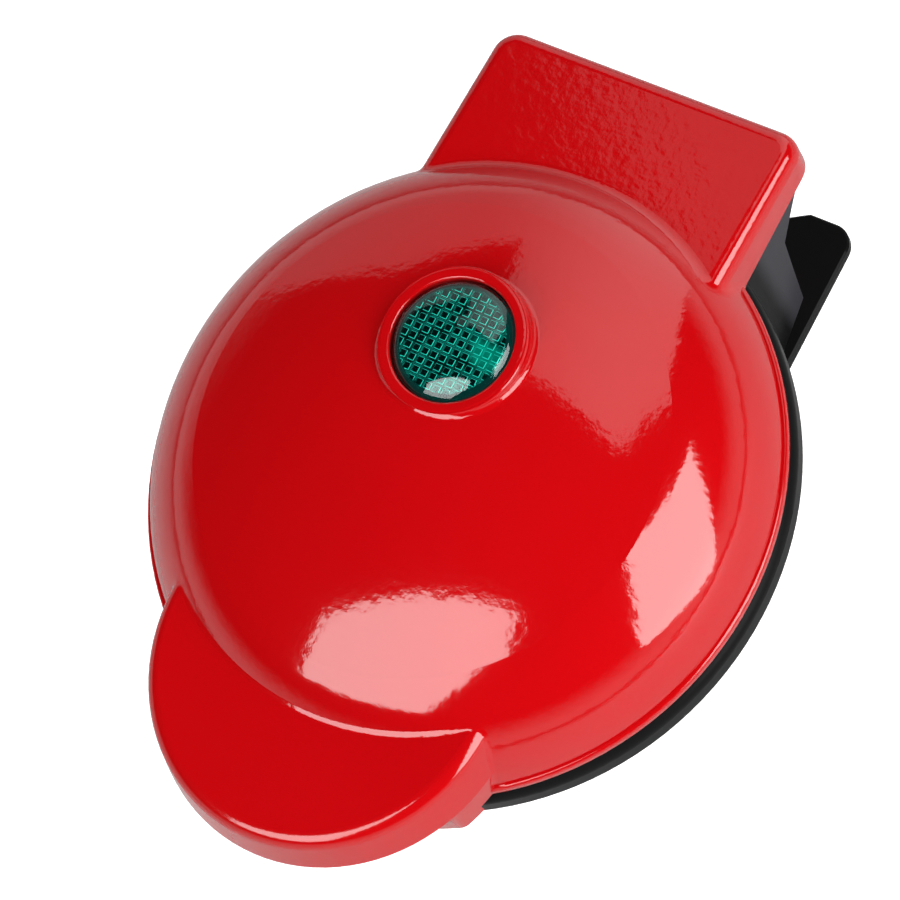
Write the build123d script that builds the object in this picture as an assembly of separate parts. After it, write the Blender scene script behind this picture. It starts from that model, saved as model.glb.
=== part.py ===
from build123d import *
from math import atan2, cos, pi, sin, sqrt
import os

# Countertop bubble waffle maker: a base that stands on the table and a domed lid on a rear hinge.
# Millimetres. +Z is up, +Y points from the handle to the hinge, X runs along the hinge.
# The origin is on the table, under the middle of the whole object.

# Lid dome
rim_radius = 62.5
rim_height = 43.0
dome_rise = 29.0
shoulder_radius = 27.6
shoulder_drop = 5.69
lid_wall = 2.2
lip_height = 1.6
lip_rounding = 0.8

# Lamp collar and lamp
lamp_y = 16.0
lens_radius = 11.6
lens_gap = 0.3
lens_thickness = 2.6
lens_crown = 2.6
lens_tube_radius = 10.0
lens_tube_wall = 1.4
lens_tube_length = 5.0
lens_edge_drop = 0.4
collar_radius = 14.4
collar_proud = 0.6
collar_rounding = 0.9
collar_flare = 1.2
collar_mouth_rounding = 0.45
lens_sink = 0.1
lamp_ledge = 2.0
holder_fit = 0.02
holder_wall = 1.2
holder_height = 2.8
neon_radius = 1.9
neon_sink = 0.19
neon_length = 11.0

# Front handle
handle_inset = 18.5
handle_radius = 34.3
handle_spread = 2.2
handle_top = 14.0
handle_rounding = 3.0
handle_flare = 1.6
handle_plate = 2.5
skirt_bottom = 5.4
apron_proud = 5.0
apron_drop = 2.0
apron_skin = 0.3
rim_room = 1.1
ear_rounding = 3.0

# Rear hinge block of the lid
block_half_width = 33.3
block_behind_hinge = 7.5
block_front_inset = 24.5
block_top_before_hinge = 9.0
block_top = 9.3
block_slope = 0.081
block_corner = 5.0
block_rounding = 3.0
block_flare = 3.0

# Hinge
hinge_behind_rim = 11.5
hinge_drop = 3.5
pin_radius = 1.5
pin_fit = 0.02
eye_fit = 0.05
eye_radius = 3.0
eye_width = 12.0
eye_offset = 15.0
slot_clearance = 0.5
pin_inset = 0.8
pin_chamfer = 0.3

# Bracket that carries the lid's hinge eyes
bracket_plate = 2.4
bracket_side_gap = 5.3
bracket_gap = 0.1
bracket_front_gap = 1.4
bracket_screw_inset = 3.6
bracket_screw_before_hinge = 6.0
bracket_boss_radius = 3.6
arm_thickness = 4.4

# Base bowl
bead_proud = 0.9
bead_wall = 1.0
bead_top_gap = 0.6
bead_top_inset = 2.6
bead_height = 6.6
bead_edge = 0.6
bead_step = 2.4
bead_step_height = 1.0
bowl_mid_inset = 9.1
bowl_mid_drop = 23.5
bowl_foot_inset = 21.4
bowl_foot_drop = 39.0
base_wall = 2.2

# Neck of the base under the hinge block
neck_front_inset = 18.5
neck_front_side = 2.6
neck_top_side = 3.1
neck_rear_foot_side = 6.2
neck_front_foot_side = 0.4
neck_behind_hinge = 2.5
neck_rounding = 1.2
neck_top_gap = 0.8
neck_roof = 2.2
neck_ledge_drop = 8.3
neck_waist_before_hinge = 5.8
neck_waist_drop = 15.8
neck_foot_before_hinge = 8.2
neck_wall_before_hinge = 6.0
neck_wall_drop = 13.0

# Cord inlet
inlet_drop = 27.5
inlet_bore = 3.3
gland_body = 4.6
gland_flange = 6.2
gland_flange_thickness = 1.8
inlet_boss = 7.6
inlet_boss_proud = 2.0
gland_inside = 3.0
gland_rounding = 0.7
gland_clearance = 0.05

# Bottom cover with its rear foot plate
cover_thickness = 2.3
cover_margin = 1.4
foot_side_inset = 0.5
foot_behind_hinge = 8.2
foot_corner = 4.5
notch_half_mouth = 22.3
notch_half_floor = 12.0
notch_depth = 6.0
cover_edge = 0.4
spigot_height = 1.6
spigot_wall = 1.6
spigot_gap = 0.25
spigot_end = 24.0
cover_boss_radius = 3.6
cover_boss_inset = 4.4
cover_boss_height = 8.0
cover_screw_angles = (45.0, 135.0, 225.0, 315.0)
cover_screw_length = 5.5

# Rubber feet
foot_pad_radius = 6.0
foot_pad_rounding = 0.5
foot_stem_radius = 2.0
foot_stem_gap = 0.05
foot_stem_length = 1.6
front_foot_inset = 5.8
front_foot_angles = (241.4, 298.6)
rear_foot_side = 7.8
rear_foot_before_edge = 12.2

# Bubble plates
flange_width = 2.2
plate_web = 2.5
plate_thickness = 2.0
land_gap = 0.25
land_width = 2.5
land_slope = 1.0
flange_lift = 2.0
pocket_web = 1.0
pocket_margin = 0.5
pocket_depth = 7.0
pocket_rings = 2
seat_inset = 22.0
seat_half_width = 7.1
seat_height = 13.0
pad_radius = 13.0
pad_height = 12.0
shield_boss_inset = 2.4
shield_boss_radius = 2.6
shield_boss_height = 9.2

# Heating rings
heater_radius = 3.2
heater_lift = 14.25
heater_fit = 0.05
heater_gap_angle = 40.0
seal_radius = 2.2
seal_length = 4.0
tab_width = 3.0
tab_thickness = 0.8
tab_length = 3.6

# Clips over the heating rings
clip_wall = 0.8
clip_width = 6.0
clip_gap = 0.3
clip_angles = (30.0, 150.0, 270.0)
clip_foot = 6.9
clip_screw_offset = 5.6
small_head_radius = 1.2
small_head_height = 0.8
small_shank_radius = 0.8
small_shank_length = 3.0
small_shank_gap = 0.02
small_hole_spare = 0.3

# Heat shields
shield_thickness = 0.6
shield_height = 18.8
shield_flat_inset = 13.5
shield_flank_inset = 4.4
shield_rim_inset = 0.4
shield_window = 11.0
shield_window_overlap = 4.5

# Inner rings that hold the plates
ring_gap = 0.3
ring_height = 4.5
ring_lip = 1.7
ring_wall_gap = 0.25
ring_band = 4.4
ring_screw_angles = (40.0, 140.0, 220.0, 320.0)
ring_boss_radius = 3.6
ring_boss_height = 5.0
ring_chamfer = 0.8
screw_hole = 1.25
screw_gap = 0.02
screw_head_radius = 2.0
screw_head_gap = 0.1
screw_head_height = 1.2
screw_length = 5.6
screw_spare = 0.4
cross_half_length = 1.4
cross_half_width = 0.25
cross_depth = 0.6

# Fuse, thermostat and terminals
fuse_radius = 2.0
fuse_length = 12.0
fuse_rounding = 0.5
fuse_clip_gap = 0.1
fuse_clip_wall = 0.7
fuse_clip_width = 5.0
fuse_clip_foot = 7.0
fuse_screw_y = 5.4
stat_radius = 7.0
stat_height = 5.4
stat_collar = 1.2
stat_lip = 0.6
stat_plate_radius = 11.0
stat_plate_thickness = 0.8
stat_gap = 0.05
stat_leg_radius = 1.6
stat_screw_x = 9.2
terminal_length = 37.0
terminal_depth = 12.0
terminal_height = 9.0
terminal_y = 22.0
terminal_bore = 1.9
terminal_bores = 4
terminal_pitch = 9.0
terminal_screw_depth = 2.0

# Lead wires
wire_radius = 0.8
wire_bend = 3.0
wire_tab_gap = 0.15
lid_wire_turn_gap = 10.0
wire_rest_before_splice = 6.0
lid_wire_rest = 5.8
lid_wire_end = 5.0
splice_before_hinge = 11.5
splice_radius = 1.6
splice_length = 6.5
base_wire_turn_gap = 11.0

# Worked out from the values above
E = rim_height
shoulder_r = rim_radius - shoulder_radius
shoulder_z = E - shoulder_drop
shoulder_top = dome_rise + shoulder_drop
crown_radius = (shoulder_r ** 2 + shoulder_top ** 2 - shoulder_radius ** 2) / (2 * (shoulder_top - shoulder_radius))
crown_z = E + dome_rise - crown_radius
hinge_y = rim_radius + hinge_behind_rim
hinge_z = E - hinge_drop
collar_rise = dome_rise + collar_proud
handle_y = rim_radius - handle_inset
handle_foot_radius = handle_radius + handle_spread
handle_front = handle_y + handle_foot_radius
apron_radius = rim_radius + apron_proud
block_rear = hinge_y + block_behind_hinge
block_front = rim_radius - block_front_inset
block_top_at = hinge_y - block_top_before_hinge
bracket_half_width = block_half_width - bracket_side_gap
bracket_screw_x = bracket_half_width - bracket_screw_inset
bracket_screw_y = hinge_y - bracket_screw_before_hinge
bead_radius = rim_radius + bead_proud
bead_inner = bead_radius - bead_top_inset - bead_wall
bowl_mid_radius = bead_radius - bowl_mid_inset
bowl_foot_radius = bead_radius - bowl_foot_inset
neck_front = rim_radius - neck_front_inset
neck_front_half = block_half_width - neck_front_side
neck_top_half = block_half_width - neck_top_side
neck_rear_foot_half = block_half_width - neck_rear_foot_side
neck_front_foot_half = block_half_width - neck_front_foot_side
neck_rear = hinge_y + neck_behind_hinge
neck_waist = hinge_y - neck_waist_before_hinge
neck_foot = hinge_y - neck_foot_before_hinge
neck_wall_rear = hinge_y - neck_wall_before_hinge
inlet_face = neck_foot + inlet_boss_proud
cover_top = E - bowl_foot_drop
cover_bottom = cover_top - cover_thickness
cover_radius = bowl_foot_radius + cover_margin
cover_boss_circle = bowl_foot_radius - cover_boss_inset
foot_half_width = block_half_width - foot_side_inset
foot_rear = hinge_y + foot_behind_hinge
centre_shift = (handle_front - foot_rear) / 2
base_ring_outer = bead_inner - ring_wall_gap
lid_ring_wall = shoulder_r + sqrt((shoulder_radius - lid_wall) ** 2 - (ring_height + shoulder_drop) ** 2)
lid_ring_outer = lid_ring_wall - ring_wall_gap
ring_inner = lid_ring_outer - ring_band
ring_screw_circle = (lid_ring_outer + ring_inner) / 2
plate_flange = ring_inner - ring_gap
plate_radius = plate_flange - flange_width
seat_radius = plate_radius - seat_inset
shield_boss_circle = plate_radius - shield_boss_inset
shield_flat_radius = plate_radius - shield_flat_inset
shield_flank_radius = plate_radius - shield_flank_inset
shield_rim_radius = plate_radius - shield_rim_inset
pocket_pitch = (plate_radius - land_width - pocket_margin + pocket_web) / (pocket_rings + 1 / 2)
pocket_radius = pocket_pitch / 2 - pocket_web
pocket_sphere = (pocket_radius ** 2 + pocket_depth ** 2) / (2 * pocket_depth)
ball_z = E + plate_web + pocket_depth - pocket_sphere
plate_back = plate_web + plate_thickness
lens_top = E + collar_rise - lens_sink
lens_seat = lens_top - lens_thickness
tube_end = lens_seat - lens_tube_length
strap_radius = heater_radius + clip_gap
bowl_top_drop = bead_height + bead_step_height
bracket_rear = hinge_y + arm_thickness / 2
splice_y = hinge_y - splice_before_hinge
lid_wire_rest_y = splice_y - wire_rest_before_splice
lid_wire_turn = seat_radius + lid_wire_turn_gap
base_wire_turn = seat_radius + base_wire_turn_gap
middle = Plane.XY.offset(E)


def arc(a, b, c):
    """An arc in the XZ plane through three (radius, height) points."""
    return ThreePointArc((a[0], 0, a[1]), (b[0], 0, b[1]), (c[0], 0, c[1]))


def line(*points):
    """Straight runs in the XZ plane through (radius, height) points."""
    return Polyline(*[(r, 0, z) for r, z in points])


def turned(*edges):
    """A solid of revolution about the dome's axis."""
    return revolve(make_face(Curve() + list(edges)), Axis.Z)


def rod(radius, length, x=0, y=0, z=0):
    """An upright cylinder that starts at z."""
    return Pos(x, y, z) * Cylinder(radius, length, align=(Align.CENTER, Align.CENTER, Align.MIN))


def rods(radius, length, places, z):
    """Upright cylinders at several places."""
    return [rod(radius, length, x, y, z) for x, y in places]


def cross_rod(radius, half_length, y, z):
    """A cylinder along X."""
    return Pos(0, y, z) * Rot(0, 90, 0) * Cylinder(radius, 2 * half_length)


def block(x0, x1, y0, y1, z0, z1):
    """A box between two corners."""
    return Pos(x0, y0, z0) * Box(x1 - x0, y1 - y0, z1 - z0, align=(Align.MIN,) * 3)


def around(angles, radius):
    """Places on a circle about the dome's axis."""
    return [(radius * cos(a * pi / 180), radius * sin(a * pi / 180)) for a in angles]


def either_side(x, y):
    """The same place on the left and on the right."""
    return [(-x, y), (x, y)]


def group(solids):
    """Separate solids that share one node."""
    return Compound(children=list(solids))


def side_profile(points, half_width):
    """A prism along X whose outline is given as (y, z) points."""
    outline = make_face(Polyline(*[(0, y, z) for y, z in points], close=True))
    return extrude(outline, half_width, both=True, dir=(1, 0, 0))


def dome_radius_at(z, inset=0.0):
    """Radius of the dome's shoulder at a height."""
    return shoulder_r + sqrt((shoulder_radius - inset) ** 2 - (z - shoulder_z) ** 2)


def dome(inset, floor):
    """The dome as a full solid, drawn in by inset, from its floor height up."""
    crown = crown_radius - inset
    shoulder = shoulder_radius - inset
    join = atan2(shoulder_r, shoulder_z - crown_z)
    join_point = (crown * sin(join), crown_z + crown * cos(join))
    half = (crown * sin(join / 2), crown_z + crown * cos(join / 2))
    end = (dome_radius_at(floor, inset), floor)
    turn = (join + atan2(end[0] - shoulder_r, floor - shoulder_z)) / 2
    bend = (shoulder_r + shoulder * sin(turn), shoulder_z + shoulder * cos(turn))
    top = (0, crown_z + crown)
    return turned(arc(top, half, join_point), arc(join_point, bend, end), line(end, (0, floor), top))


def block_roof(y, inset=0.0):
    """Height of the hinge block's roof, which falls slightly to the rear."""
    return E + block_top - inset - block_slope * (y - block_top_at)


def hinge_block(inset, floor):
    """The lid's rear block, drawn in by inset."""
    rear = block_rear - inset
    points = [(block_front, floor), (rear, floor), (rear, block_roof(rear, inset)),
              (block_front, block_roof(block_front, inset))]
    body = side_profile(points, block_half_width - inset)
    uprights = body.edges().filter_by(Axis.Z).group_by(Axis.Y)[-1]
    return fillet(uprights, block_corner - inset)


def handle_disc(inset, height):
    """The handle's round disc, wider at its foot, drawn in by inset and up to a height above the foot."""
    foot = handle_foot_radius - inset
    spread = handle_spread * height / (handle_top - skirt_bottom)
    disc = Cone(foot, foot - spread, height, align=(Align.CENTER, Align.CENTER, Align.MIN))
    return Pos(0, -handle_y, E + skirt_bottom) * disc


def handle_outside():
    """The front handle: the disc, and below it the part that ends in the two ears."""
    disc = handle_disc(0, handle_top - skirt_bottom)
    upper = fillet(disc.edges().group_by(Axis.Z)[-1], handle_rounding)
    lower_height = apron_drop + skirt_bottom
    lower = rod(handle_foot_radius, lower_height, y=-handle_y, z=E - apron_drop)
    lower = lower & rod(apron_radius, lower_height, z=E - apron_drop)
    lower = fillet(lower.edges().filter_by(Axis.Z).group_by(Axis.Y)[0], ear_rounding)
    return upper + lower


def make_handle():
    """The handle with its finger hollow, the hollow behind the apron and the room for the base's rim."""
    floor = E - apron_drop - 1
    height = E + handle_top - handle_plate - floor
    inside = rod(handle_foot_radius - lid_wall, E + skirt_bottom - floor, y=-handle_y, z=floor)
    inside = inside + handle_disc(lid_wall, handle_top - handle_plate - skirt_bottom)
    fingers = inside - rod(apron_radius, height, z=floor)
    behind = (inside & rod(apron_radius - lid_wall, height, z=floor)) - dome(-apron_skin, E)
    rim = rod(bead_radius + rim_room, apron_drop + 1, z=floor)
    return handle_outside() - rim - fingers - behind


def lamp_collar():
    """Raised ring that the indicator lens sits in."""
    base = E + dome_rise / 2
    collar = rod(collar_radius, E + collar_rise - base, y=lamp_y, z=base)
    return fillet(collar.edges().group_by(Axis.Z)[-1], collar_rounding)


def joined(body, part, radius):
    """Two shapes made one, with a hollow fillet where they meet above the lip."""
    whole = body + part
    seam = new_edges(body, part, combined=whole)
    return fillet(seam.filter_by(lambda edge: edge.center().Z > E + lip_height), radius)


def lid_outside():
    """The lid's outer shape, its dome and hinge block still full."""
    outer_block = hinge_block(0, E)
    outer_block = fillet(outer_block.faces().sort_by(Axis.Z)[-1].edges(), block_rounding)
    lip = rod(rim_radius, lip_height, z=E)
    lip = fillet(lip.edges().group_by(Axis.Z)[-1], lip_rounding)
    body = joined(dome(0, E), lamp_collar(), collar_flare)
    body = joined(body, outer_block, block_flare)
    return joined(body, make_handle(), handle_flare) + lip


def lid_inner_bosses():
    """Bosses inside the lid for the ring's screws, the hinge bracket's screws and the lamp."""
    low = E + ring_height
    bosses = [boss & dome(lid_wall / 2, E) for boss in
              rods(ring_boss_radius, ring_boss_height + lid_wall, around(ring_screw_angles, ring_screw_circle), low)]
    bracket_top = E + bracket_gap + bracket_plate
    bosses += [boss & hinge_block(lid_wall / 2, E) for boss in
               rods(bracket_boss_radius, block_top, either_side(bracket_screw_x, bracket_screw_y), bracket_top)]
    ledge = rod(lens_radius + lens_gap + lid_wall, lamp_ledge + lens_thickness, y=lamp_y, z=lens_seat - lamp_ledge)
    return bosses + [ledge]


def make_lid_shell():
    """Dome, handle, hinge block and lamp collar in one moulding."""
    shell = lid_outside() - dome(lid_wall, E - 1) - hinge_block(lid_wall, E - 1)
    shell = shell + lid_inner_bosses()
    shell = shell - rod(lens_radius + lens_gap, dome_rise, y=lamp_y, z=lens_seat)
    mouth = shell.edges().filter_by(GeomType.CIRCLE).group_by(Axis.Z)[-1].sort_by(SortBy.RADIUS)[0]
    shell = fillet(mouth, collar_mouth_rounding)
    shell = shell - rod(lens_tube_radius + lens_gap, dome_rise, y=lamp_y, z=lens_seat - dome_rise / 2)
    reach = screw_length + screw_spare
    shell = shell - rods(screw_hole, ring_gap + screw_head_height + reach,
                         around(ring_screw_angles, ring_screw_circle), E)
    return shell - rods(screw_hole, bracket_gap + screw_head_height + reach,
                        either_side(bracket_screw_x, bracket_screw_y), E)


def make_lamp_lens():
    """Round lens with a domed face and a tube that snaps into the collar."""
    edge = lens_top - lens_edge_drop
    inner = lens_tube_radius - lens_tube_wall
    crown = lens_top + lens_crown
    under = lens_seat + lens_edge_drop
    outline = line((lens_radius, edge), (lens_radius, lens_seat), (lens_tube_radius, lens_seat),
                   (lens_tube_radius, tube_end), (inner, tube_end), (inner, under), (0, under), (0, crown))
    ball = (lens_radius ** 2 + (crown - edge) ** 2) / (2 * (crown - edge))
    halfway = crown - ball + sqrt(ball ** 2 - (lens_radius / 2) ** 2)
    return Pos(0, lamp_y) * turned(outline, arc((0, crown), (lens_radius / 2, halfway), (lens_radius, edge)))


def make_lamp_holder():
    """Cup pushed over the lens tube from inside; it carries the neon lamp."""
    low = tube_end - holder_wall
    inner = lens_tube_radius + holder_fit
    cup = rod(inner + holder_wall, holder_height, y=lamp_y, z=low) - rod(inner, holder_height, y=lamp_y, z=tube_end)
    half = neon_length / 2
    cradle = block(-half, half, lamp_y - holder_wall, lamp_y + holder_wall, tube_end, tube_end + holder_wall)
    return cup + cradle


def make_neon_lamp():
    """Small glow lamp with rounded ends, lying flat on the holder's cradle."""
    low = tube_end + holder_wall
    lamp = cross_rod(neon_radius, neon_length / 2, lamp_y, low + neon_radius - neon_sink)
    lamp = fillet(lamp.edges().filter_by(GeomType.CIRCLE), neon_radius / 2)
    return lamp - block(-neon_length, neon_length, 0, 2 * lamp_y, E, low)


def plate_body():
    """The upper plate's disc: rim land, web and the flange that the ring holds."""
    land = plate_radius - land_width
    points = [(0, plate_web), (land - land_slope, plate_web), (land, land_gap), (plate_radius, land_gap),
              (plate_radius, flange_lift), (plate_flange, flange_lift), (plate_flange, plate_back),
              (0, plate_back), (0, plate_web)]
    return turned(line(*[(r, E + z) for r, z in points]))


def pocket_places():
    """Centres of the pockets, on a hexagonal pattern."""
    places = []
    for i in range(-pocket_rings, pocket_rings + 1):
        for j in range(-pocket_rings, pocket_rings + 1):
            if abs(i + j) <= pocket_rings:
                places.append((pocket_pitch * (i + j / 2), pocket_pitch * j * sqrt(3) / 2))
    return places


def clip_screw_places():
    """Places of the clips' screws on both sides of the heating ring."""
    return around(clip_angles, seat_radius - clip_screw_offset) + around(clip_angles, seat_radius + clip_screw_offset)


def screw_sockets(places, top):
    """Blind holes for small screws, from a height down."""
    depth = small_shank_length + small_hole_spare
    return rods(small_shank_radius, depth, places, E + top - depth)


def make_bubble_plate():
    """Upper plate: round pockets, their domed backs, the heater's seat, the middle pad and the bosses."""
    above = rod(plate_radius, 3 * pocket_depth, z=E + plate_web)
    back = E + plate_back
    plate = plate_body()
    plate = plate + [(Pos(x, y, ball_z) * Sphere(pocket_sphere + plate_thickness)) & above
                     for x, y in pocket_places()]
    seat = rod(seat_radius + seat_half_width, seat_height - plate_back, z=back)
    plate = plate + (seat - rod(seat_radius - seat_half_width, seat_height, z=back))
    plate = plate + rod(pad_radius, pad_height - plate_back, z=back)
    plate = plate + rods(shield_boss_radius, shield_boss_height - plate_back,
                         around(clip_angles, shield_boss_circle), back)
    plate = plate - Pos(0, 0, E + heater_lift) * Torus(seat_radius, heater_radius + heater_fit)
    plate = plate - screw_sockets(around(clip_angles, shield_boss_circle), shield_boss_height + shield_thickness)
    plate = plate - screw_sockets(clip_screw_places(), seat_height + clip_wall)
    return plate - [Pos(x, y, ball_z) * Sphere(pocket_sphere) for x, y in pocket_places()]


def make_heater():
    """Tubular heating ring with a gap at the rear for its two ends."""
    section = Plane.XZ * Pos(seat_radius, E + heater_lift) * Circle(heater_radius)
    return Rot(0, 0, 90 + heater_gap_angle / 2) * revolve(section, Axis.Z, 360 - heater_gap_angle)


def heater_end_places():
    """Frame of each end of the heating ring, looking along the tube out of its end."""
    ends = []
    for side in (-1, 1):
        a = (90 + side * heater_gap_angle / 2) * pi / 180
        ends.append(Plane(origin=(seat_radius * cos(a), seat_radius * sin(a), E + heater_lift),
                          x_dir=(0, 0, 1), z_dir=(side * sin(a), -side * cos(a), 0)))
    return ends


def make_heater_seals():
    """Ceramic end beads of the heating ring."""
    return group([end * Cylinder(seal_radius, seal_length, align=(Align.CENTER, Align.CENTER, Align.MIN))
                  for end in heater_end_places()])


def make_heater_tabs():
    """Flat terminals that stand out of the ceramic beads."""
    return group([end * Pos(0, 0, seal_length) * Box(tab_width, tab_thickness, tab_length,
                                                     align=(Align.CENTER, Align.CENTER, Align.MIN))
                  for end in heater_end_places()])


def strap_outline(inner, wall, foot, level):
    """A strap over a tube with a foot on each side, seen along the tube."""
    low = Pos(0, level) * Rectangle(2 * foot, wall, align=(Align.CENTER, Align.MIN))
    strap = Circle(inner + wall) + low - Circle(inner)
    return strap & Pos(0, level) * Rectangle(4 * foot, 4 * foot, align=(Align.CENTER, Align.MIN))


def make_heater_clips():
    """Three straps that hold the heating ring down in its seat."""
    outline = strap_outline(strap_radius, clip_wall, clip_foot, seat_height - heater_lift)
    holes = rods(small_shank_radius, 4 * clip_wall, clip_screw_places(), E + seat_height - clip_wall)
    clips = []
    for a in clip_angles:
        across = Plane.XZ * Pos(seat_radius, E + heater_lift) * outline
        clip = Rot(0, 0, a) * extrude(across, clip_width / 2, both=True) - holes
        clips += clip.solids()
    return group(clips)


def small_screws(places, top):
    """Small pan-head screws that stand on a height, their shanks reaching down."""
    screws = []
    for x, y in places:
        head = rod(small_head_radius, small_head_height, x, y, E + top)
        shank = rod(small_shank_radius - small_shank_gap, small_shank_length, x, y, E + top - small_shank_length)
        screws.append(head + shank)
    return group(screws)


def make_clip_screws():
    """Six screws that hold the three clips."""
    return small_screws(clip_screw_places(), seat_height + clip_wall)


def make_shield_screws():
    """Three screws that hold the shield on the plate's bosses."""
    return small_screws(around(clip_angles, shield_boss_circle), shield_boss_height + shield_thickness)


def make_heat_shield():
    """Thin dish between the heating ring and the plastic shell, with a window for the leads."""
    t = shield_thickness
    rim = shield_boss_height
    points = [(0, shield_height), (shield_flat_radius, shield_height), (shield_flank_radius, rim),
              (shield_rim_radius, rim), (shield_rim_radius, rim + t), (shield_flank_radius + t / 2, rim + t),
              (shield_flat_radius + t / 2, shield_height + t), (0, shield_height + t), (0, shield_height)]
    dish = turned(line(*[(r, E + z) for r, z in points]))
    dish = dish - block(-shield_window, shield_window, shield_flat_radius - shield_window_overlap, plate_flange, E, E + 2 * shield_height)
    return dish - rods(small_shank_radius, shield_height, around(clip_angles, shield_boss_circle), E)


def screw_recesses(places, face):
    """Through holes with recesses for countersunk screws, from a face up."""
    return (rods(screw_hole, ring_height + bracket_plate, places, face)
            + rods(screw_head_radius + screw_head_gap, screw_head_height, places, face))


def make_inner_ring(outer):
    """Ring that carries the plate's flange on its inner lip and is screwed to the shell."""
    lip = plate_radius + ring_gap
    points = [(lip, ring_gap), (outer - ring_chamfer, ring_gap), (outer, ring_gap + ring_chamfer),
              (outer, ring_height), (ring_inner, ring_height), (ring_inner, ring_lip), (lip, ring_lip), (lip, ring_gap)]
    ring = turned(line(*[(r, E + z) for r, z in points]))
    return ring - screw_recesses(around(ring_screw_angles, ring_screw_circle), E + ring_gap)


def cross_screws(places, face, radius, length):
    """Screws with a crosswise recess, heads down on a face, shanks up."""
    screws = []
    for x, y in places:
        screw = rod(screw_head_radius, screw_head_height, x, y, face)
        screw = screw + rod(radius, length, x, y, face + screw_head_height)
        long, thin = cross_half_length, cross_half_width
        screw = screw - block(x - long, x + long, y - thin, y + thin, face, face + cross_depth)
        screws.append(screw - block(x - thin, x + thin, y - long, y + long, face, face + cross_depth))
    return group(screws)


def make_ring_screws():
    """Screws of the inner ring, heads countersunk in the ring's face."""
    places = around(ring_screw_angles, ring_screw_circle)
    return cross_screws(places, E + ring_gap, screw_hole - screw_gap, screw_length)


def make_hinge_bracket():
    """Black bracket screwed into the hinge block; its two arms end in the hinge eyes."""
    low = E + bracket_gap
    front = dome_radius_at(E, lid_wall) + bracket_front_gap
    body = block(-bracket_half_width, bracket_half_width, neck_front, bracket_rear, low, low + bracket_plate)
    body = body - rod(front, 2 * bracket_plate, z=E)
    for side in (-1, 1):
        x = side * eye_offset
        body = body + block(x - eye_width / 2, x + eye_width / 2, hinge_y - arm_thickness / 2, bracket_rear,
                            hinge_z, low + bracket_plate / 2)
        body = body + Pos(x, hinge_y, hinge_z) * Rot(0, 90, 0) * Cylinder(eye_radius, eye_width)
    body = body - screw_recesses(either_side(bracket_screw_x, bracket_screw_y), low)
    return body - cross_rod(pin_radius + eye_fit, block_half_width, hinge_y, hinge_z)


def make_bracket_screws():
    """Two screws up through the bracket into the hinge block."""
    places = either_side(bracket_screw_x, bracket_screw_y)
    return cross_screws(places, E + bracket_gap, screw_hole - screw_gap, screw_length)


def neck_sides(inset):
    """The neck between its two side faces, which lean in towards the foot."""
    front = neck_front - 2 * base_wall
    rear = block_rear
    def outline(front_half, rear_half, z):
        corners = [(-front_half, front), (front_half, front), (rear_half, rear), (-rear_half, rear)]
        return make_face(Polyline(*[(x, y, z) for x, y in corners], close=True))
    foot = outline(neck_front_foot_half - inset, neck_rear_foot_half - inset, cover_top)
    top = outline(neck_front_half - inset, neck_top_half - inset, E)
    return loft([foot, top])


def make_neck():
    """The neck's outer shape, from the bowl to the hinge seats."""
    top = E - neck_top_gap
    points = [(neck_front, top), (neck_rear, top), (neck_rear, E - neck_ledge_drop),
              (neck_waist, E - neck_waist_drop), (neck_foot, cover_top), (neck_front, cover_top)]
    neck = side_profile(points, rim_radius) & neck_sides(0)
    return chamfer(neck.edges().group_by(Axis.Z)[-1].group_by(Axis.Y)[-1], neck_rounding)


def neck_hollow():
    """Space inside the neck, open to the bowl and to the bottom cover."""
    front = neck_front - base_wall
    roof = E - neck_top_gap - neck_roof
    points = [(front, roof), (neck_wall_rear, roof), (neck_wall_rear, E - neck_wall_drop),
              (neck_foot - base_wall, cover_top - 1), (front, cover_top - 1)]
    return side_profile(points, rim_radius) & neck_sides(base_wall)


def bowl(inset):
    """Bowl of the base below its bead, drawn in by inset."""
    top = (bead_radius - bead_step - inset, E - bowl_top_drop)
    mid = (bowl_mid_radius - inset, E - bowl_mid_drop)
    low = (bowl_foot_radius - inset, cover_top)
    return turned(arc(top, mid, low), line(low, (0, cover_top), (0, top[1]), top))


def bead():
    """Rounded rim of the base, as a full disc."""
    top = E - bead_top_gap
    low = E - bead_height
    r = bead_radius
    cut = bead_top_inset * (1 - sqrt(0.5))
    step = (r - bead_step, low - bead_step_height)
    return turned(arc((r - bead_top_inset, top), (r - cut, top - cut), (r, top - bead_top_inset)),
                  line((r, top - bead_top_inset), (r, low), (r - bead_edge, low - bead_edge), step,
                       (0, step[1]), (0, top), (r - bead_top_inset, top)))


def along_neck(radius, length, y, align):
    """A cylinder on the cord inlet's axis, from y forwards or rearwards."""
    return Pos(0, y, E - inlet_drop) * Rot(90, 0, 0) * Cylinder(radius, length, align=(Align.CENTER, Align.CENTER, align))


def eye_slots():
    """Openings in the neck for the lid's two hinge eyes."""
    half = eye_width / 2 + slot_clearance
    reach = eye_radius + slot_clearance
    return [block(side * eye_offset - half, side * eye_offset + half, hinge_y - reach, block_rear, hinge_z - reach, E)
            for side in (-1, 1)]


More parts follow.
